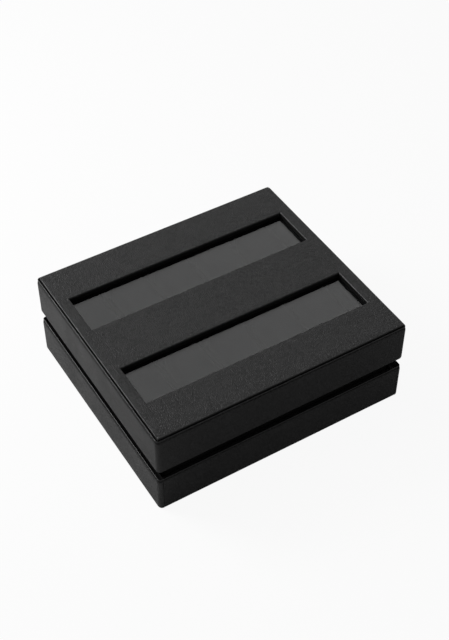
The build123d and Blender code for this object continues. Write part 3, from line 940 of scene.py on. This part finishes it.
def new_material(name):
    """Start a material with only a Principled shader and Object coordinates."""
    material = bpy.data.materials.new(name)
    material.use_nodes = True
    tree = material.node_tree
    tree.nodes.clear()
    shader = tree.nodes.new("ShaderNodeBsdfPrincipled")
    out = tree.nodes.new("ShaderNodeOutputMaterial")
    tree.links.new(shader.outputs["BSDF"], out.inputs["Surface"])
    place = tree.nodes.new("ShaderNodeTexCoord").outputs["Object"]
    return material, tree, shader, place


def output_of(tree):
    """Find the node that a material's surface is linked to."""
    return next(node for node in tree.nodes if node.type == "OUTPUT_MATERIAL")


def use_group(tree, group, place, **values):
    """Place a node group in a material and set its inputs."""
    node = tree.nodes.new("ShaderNodeGroup")
    node.node_tree = group
    tree.links.new(place, node.inputs["Vector"])
    for label, value in values.items():
        node.inputs[label.replace("_", " ")].default_value = value
    return node


def blend_colours(tree, mask, first, second):
    """Mix two colours by a mask. Each is a colour or another node's output."""
    node = tree.nodes.new("ShaderNodeMix")
    node.data_type = "RGBA"
    for index, value in ((0, mask), (6, first), (7, second)):
        feed(tree, node.inputs[index], value)
    return node.outputs[2]


def mix_shaders(tree, out, share, first, second):
    """Show the first shader on the output where the share is 0, and the second where it is 1."""
    node = tree.nodes.new("ShaderNodeMixShader")
    for socket, value in zip(node.inputs, (share, first, second)):
        feed(tree, socket, value)
    tree.links.new(node.outputs[0], out.inputs["Surface"])


def relief(tree, shader, height, depth, strength=1.0):
    """Bump the shader by a height, depth metres from lowest to highest."""
    node = tree.nodes.new("ShaderNodeBump")
    node.inputs["Strength"].default_value = strength
    node.inputs["Distance"].default_value = depth
    tree.links.new(height, node.inputs["Height"])
    tree.links.new(node.outputs["Normal"], shader.inputs["Normal"])


def read_mark(tree, mark):
    """Read the mark that mark_faces left on a piece, 0 where there is none."""
    node = tree.nodes.new("ShaderNodeAttribute")
    node.attribute_name = mark
    return node.outputs["Fac"]


def paint_shade(tree, shader, surface):
    """Colour the shader by the surface, and near black as painted shade where the piece is marked
    for it.
    """
    edge = read_mark(tree, "dyed")
    tree.links.new(blend_colours(tree, edge, surface, painted_shade_colour), shader.inputs["Base Color"])
    return edge


print("dye colour:", painted_shade_colour)

# %% [markdown]
# ## Leather
# Black leather has almost no colour of its own: what the eye sees is gloss. So the base is close to
# black, and the pebbles break up the reflection of the bright surroundings. Where the hide is drawn
# tight over an edge, its grain is pressed flat and shines. Where it is marked for painted shade, it
# is near black, rough and dull.

# %% Leather
cloud_share, mottle_share, crease_share = 0.2, 0.8, 0.3
gloss_spread = 0.1
tight_polish = 0.13
painted_shade_roughness = 0.45
pressed_flat = 0.95


def leather(name, dark, light, roughness, pebbles, depth, gloss):
    """Leather with a pebbled grain, cloudy tone and uneven gloss."""
    material, tree, shader, place = new_material(name)
    hide = use_group(tree, grain, place, Pebbles_per_metre=pebbles)
    wear = use_group(tree, marks, place, Size=22.0)
    tone = math_node(tree, "MULTIPLY", wear.outputs["Cloudy"], cloud_share)
    tone = math_node(tree, "ADD", tone,
                     math_node(tree, "MULTIPLY", hide.outputs["Mottle"], mottle_share))
    tone = math_node(tree, "SUBTRACT", tone,
                     math_node(tree, "MULTIPLY", hide.outputs["Creases"], crease_share), clamp=True)
    # Faces marked for shade get painted shade: a near-black colour in creases, grooves and under
    # the hem.
    edge = paint_shade(tree, shader, blend_colours(tree, tone, dark, light))
    tight = read_mark(tree, "turned")
    uneven = math_node(tree, "ADD",
                       math_node(tree, "MULTIPLY", wear.outputs["Cloudy"], gloss_spread),
                       math_node(tree, "MULTIPLY", hide.outputs["Mottle"], gloss_spread))
    uneven = math_node(tree, "SUBTRACT", uneven, math_node(tree, "MULTIPLY", tight, tight_polish))
    uneven = math_node(tree, "ADD", uneven, math_node(tree, "MULTIPLY", edge, painted_shade_roughness))
    tree.links.new(math_node(tree, "ADD", uneven, roughness - gloss_spread / 2, clamp=True),
                   shader.inputs["Roughness"])
    shader.inputs["Specular IOR Level"].default_value = gloss
    flat = math_node(tree, "MULTIPLY", math_node(tree, "MAXIMUM", tight, edge), pressed_flat)
    relief(tree, shader, math_node(tree, "MULTIPLY", hide.outputs["Height"],
                                   math_node(tree, "SUBTRACT", 1.0, flat)), depth)
    return material


print("roughness leather loses where it is drawn tight:", tight_polish)

# %% [markdown]
# ## Velvet and felt
# Velvet is dark face on and lighter at a grazing angle, because light catches the tips of its pile.
# That is what the shader's sheen does. Felt is the same cloth with less sheen and a lighter base.

# %% Velvet
pile_height = 0.00015


def velvet(name, dark, light, sheen):
    """Short-pile velvet, brushed this way and that."""
    material, tree, shader, place = new_material(name)
    nap = use_group(tree, pile, place, Tufts_per_metre=2600.0)
    tree.links.new(blend_colours(tree, nap.outputs["Brushed"], dark, light),
                   shader.inputs["Base Color"])
    shader.inputs["Roughness"].default_value = 0.95
    shader.inputs["Specular IOR Level"].default_value = 0.1
    shader.inputs["Sheen Weight"].default_value = sheen
    shader.inputs["Sheen Roughness"].default_value = 0.4
    relief(tree, shader, nap.outputs["Height"], pile_height)
    return material


print("pile height in mm:", round(pile_height / MM, 2))

# %% [markdown]
# ## Stained board and blackened steel
# A thin dark finish shows how it was put on: stain follows the sanding of the board, and blackening
# follows the drawing of the steel. Noise stretched along X gives such streaks to tone, gloss and
# relief together, which keeps them in step.

# %% Stained and blackened surfaces
streak_squeeze = (0.12, 1, 1)
streak_depth = 0.00006
gloss_change = 0.08


def painted(name, dark, light, roughness, streak, metallic=0.0, gloss=0.5):
    """Board or metal under a thin dark finish, with faint streaks along X."""
    material, tree, shader, place = new_material(name)
    stretch = tree.nodes.new("ShaderNodeMapping")
    stretch.inputs["Scale"].default_value = streak_squeeze
    tree.links.new(place, stretch.inputs["Vector"])
    streaks = noise(tree, stretch.outputs["Vector"], streak, 4.0, 0.65)
    # Faces marked for shade, as on the drawer box's front, get painted shade in near black.
    paint_shade(tree, shader, blend_colours(tree, ramp(tree, streaks, 0.3, 0.7), dark, light))
    tree.links.new(ramp(tree, streaks, 0.2, 0.8, roughness - gloss_change,
                        roughness + gloss_change), shader.inputs["Roughness"])
    shader.inputs["Metallic"].default_value = metallic
    shader.inputs["Specular IOR Level"].default_value = gloss
    relief(tree, shader, streaks, streak_depth)
    return material


print("materials so far:", len(bpy.data.materials))

# %% [markdown]
# ## Smoked glass
# The panes reflect the pale surroundings and hide the tray, so they are polished glass with a faint
# smoke. Light that a lamp sends through refracting glass is hard to follow, so for shadow and matt
# light the pane is a plain grey filter instead, about as dark as the glass.

# %% Glass
def smoked_glass():
    """Flat polished glass, faintly grey through its thickness."""
    material, tree, shader, place = new_material("pane_glass")
    path = tree.nodes.new("ShaderNodeLightPath")
    straight = math_node(tree, "MAXIMUM", path.outputs["Is Shadow Ray"],
                         path.outputs["Is Diffuse Ray"])
    through = tree.nodes.new("ShaderNodeBsdfTransparent")
    through.inputs["Color"].default_value = (0.56, 0.57, 0.57, 1)
    mix_shaders(tree, output_of(tree), straight, shader.outputs["BSDF"], through.outputs["BSDF"])
    wear = use_group(tree, marks, place, Size=14.0)
    smoke = blend_colours(tree, wear.outputs["Cloudy"], (0.30, 0.31, 0.31), (0.33, 0.34, 0.34))
    tree.links.new(smoke, shader.inputs["Base Color"])
    shader.inputs["Roughness"].default_value = 0.0
    shader.inputs["Transmission Weight"].default_value = 1.0
    shader.inputs["IOR"].default_value = 1.56
    return material


print("materials so far:", len(bpy.data.materials))

# %% [markdown]
# ## Every finish of the box
# Each finish is a call with its own dark and light tone, roughness and scale. The outer leather has
# large pebbles and some gloss, the neck in the shadow gap is finer and matt, and the pillows are in
# between. The neck's near-black tone is painted shade that keeps the gap dark, and so is the
# near-black board of the window frame. Every piece then takes the finish that its slot names.

# %% Make the finishes and put them on
finishes = {
    "leather": leather("black_leather", (0.0, 0.0, 0.0), (0.018, 0.018, 0.0183), roughness=0.38,
                       pebbles=600.0, depth=0.0005, gloss=0.2),
    # The neck's near-black tone is painted shade that keeps the shadow gap dark.
    "neck_wrap": leather("neck_leather", (0.0002, 0.0002, 0.0002), (0.001, 0.001, 0.001),
                         roughness=0.7, pebbles=1300.0, depth=0.00006, gloss=0.015),
    "pillow_leather": leather("pillow_leather", (0.005, 0.005, 0.0052), (0.010, 0.010, 0.0103),
                              roughness=0.55, pebbles=700.0, depth=0.00012, gloss=0.1),
    "velvet": velvet("black_velvet", (0.004, 0.004, 0.0044), (0.009, 0.009, 0.0098), sheen=0.2),
    "felt": velvet("base_felt", (0.012, 0.012, 0.012), (0.02, 0.02, 0.02), sheen=0.1),
    "board": painted("stained_board", (0.012, 0.0115, 0.011), (0.024, 0.023, 0.022),
                     roughness=0.65, streak=260.0, gloss=0.15),
    # The frame boards' near-black tone is painted shade for the window walls and the groove.
    "frame_board": painted("dyed_board", (0.001, 0.001, 0.001), (0.002, 0.002, 0.002),
                           roughness=0.7, streak=300.0, gloss=0.05),
    "runner_strip": painted("runner_plastic", (0.03, 0.03, 0.031), (0.045, 0.045, 0.046),
                            roughness=0.4, streak=120.0),
    "hinge_metal": painted("blackened_steel", (0.05, 0.05, 0.052), (0.09, 0.09, 0.092),
                           roughness=0.35, streak=400.0, metallic=1.0),
    "screw_metal": painted("screw_steel", (0.07, 0.07, 0.072), (0.12, 0.12, 0.122),
                           roughness=0.32, streak=500.0, metallic=1.0),
    "glass": smoked_glass(),
}
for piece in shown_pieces():
    slot_name = piece.get("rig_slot") or finish_of.get(piece.name)
    piece.data.materials.clear()
    piece.data.materials.append(finishes[slot_name])

# %% [markdown]
# ## The floor
# The box stands on white paper. The camera and the glass see it as plain white, mixed with a little
# of the real paper, so that it still takes the box's shadow. In the gloss of the leather the paper
# stays nearly as it is lit, because a paper that shone there would wash out the dark front.

# %% Floor
paper_seen_direct = 0.93
paper_seen_in_gloss = 0.06


def sees_white(tree, seen_direct, seen_in_gloss):
    """How much white a ray sees: none if it carries light to a matt surface."""
    path = tree.nodes.new("ShaderNodeLightPath")
    direct = math_node(tree, "MAXIMUM", path.outputs["Is Camera Ray"],
                       path.outputs["Is Transmission Ray"])
    direct = math_node(tree, "MULTIPLY", direct, seen_direct)
    gloss = math_node(tree, "MULTIPLY", path.outputs["Is Glossy Ray"], seen_in_gloss)
    return math_node(tree, "MAXIMUM", direct, gloss)


bpy.ops.mesh.primitive_plane_add(size=8, location=(0, 0, 0))
floor = bpy.context.object
floor.name = "floor"
paper, tree, shader, place = new_material("white_paper")
shader.inputs["Base Color"].default_value = (0.6, 0.6, 0.6, 1)
shader.inputs["Roughness"].default_value = 0.9
shader.inputs["Specular IOR Level"].default_value = 0.0
glow = tree.nodes.new("ShaderNodeEmission")
glow.inputs["Strength"].default_value = 1.0
mix_shaders(tree, output_of(tree), sees_white(tree, paper_seen_direct, paper_seen_in_gloss),
            shader.outputs["BSDF"], glow.outputs["Emission"])
floor.data.materials.append(paper)
floor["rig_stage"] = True
print("floor size in metres:", [round(side, 1) for side in floor.dimensions[:2]])

# %% [markdown]
# ## The surroundings
# A white studio shows in every gloss and pane, so the world is plain white to the camera, to gloss
# and to glass. As light on matt surfaces it is much weaker, and leaves the lamps to shape the box.

# %% World
ambient_strength = 0.2
world = bpy.data.worlds.new("white_surroundings")
bpy.context.scene.world = world
world.use_nodes = True
tree = world.node_tree
tree.nodes.clear()
ambient = tree.nodes.new("ShaderNodeBackground")
ambient.inputs["Color"].default_value = (1, 1, 1, 1)
ambient.inputs["Strength"].default_value = ambient_strength
seen = tree.nodes.new("ShaderNodeBackground")
seen.inputs["Color"].default_value = (1, 1, 1, 1)
seen.inputs["Strength"].default_value = 1.0
mix_shaders(tree, tree.nodes.new("ShaderNodeOutputWorld"), sees_white(tree, 1.0, 1.0),
            ambient.outputs[0], seen.outputs[0])
print("world light on matt surfaces:", ambient_strength)

# %% [markdown]
# ## Two soft lamps
# The key lamp stands at the left and behind. It lights the left faces, draws the bright lines on
# the turned edges that face it, and leaves the front in shade, as in the photograph. A wide weak
# lamp above softens its shadow.

# %% Lamps
box_middle = Vector((0, 0, 0.05))


def soft_lamp(name, place, size, power):
    """A square area lamp that points at the box."""
    bpy.ops.object.light_add(type="AREA", location=place)
    lamp = bpy.context.object
    lamp.name = name
    lamp.data.shape = "SQUARE"
    lamp.data.size = size
    lamp.data.energy = power
    lamp.rotation_euler = (box_middle - Vector(place)).to_track_quat("-Z", "Y").to_euler()


soft_lamp("key", (-0.72, 0.82, 0.82), size=0.5, power=18)
soft_lamp("overhead", (-0.4, 0.6, 1.6), size=1.0, power=6)
bpy.context.scene.view_settings.view_transform = "Standard"

# %% [markdown]
# ## Check the size
# The dressed box must stay as large as the imported one, so the difference on each side is printed.

# %% Print the difference on each side
dressed_low, dressed_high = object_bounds()
grown = (*(packed_low - dressed_low), *(dressed_high - packed_high))
print("grown in mm:", [round(side / MM, 3) for side in grown])
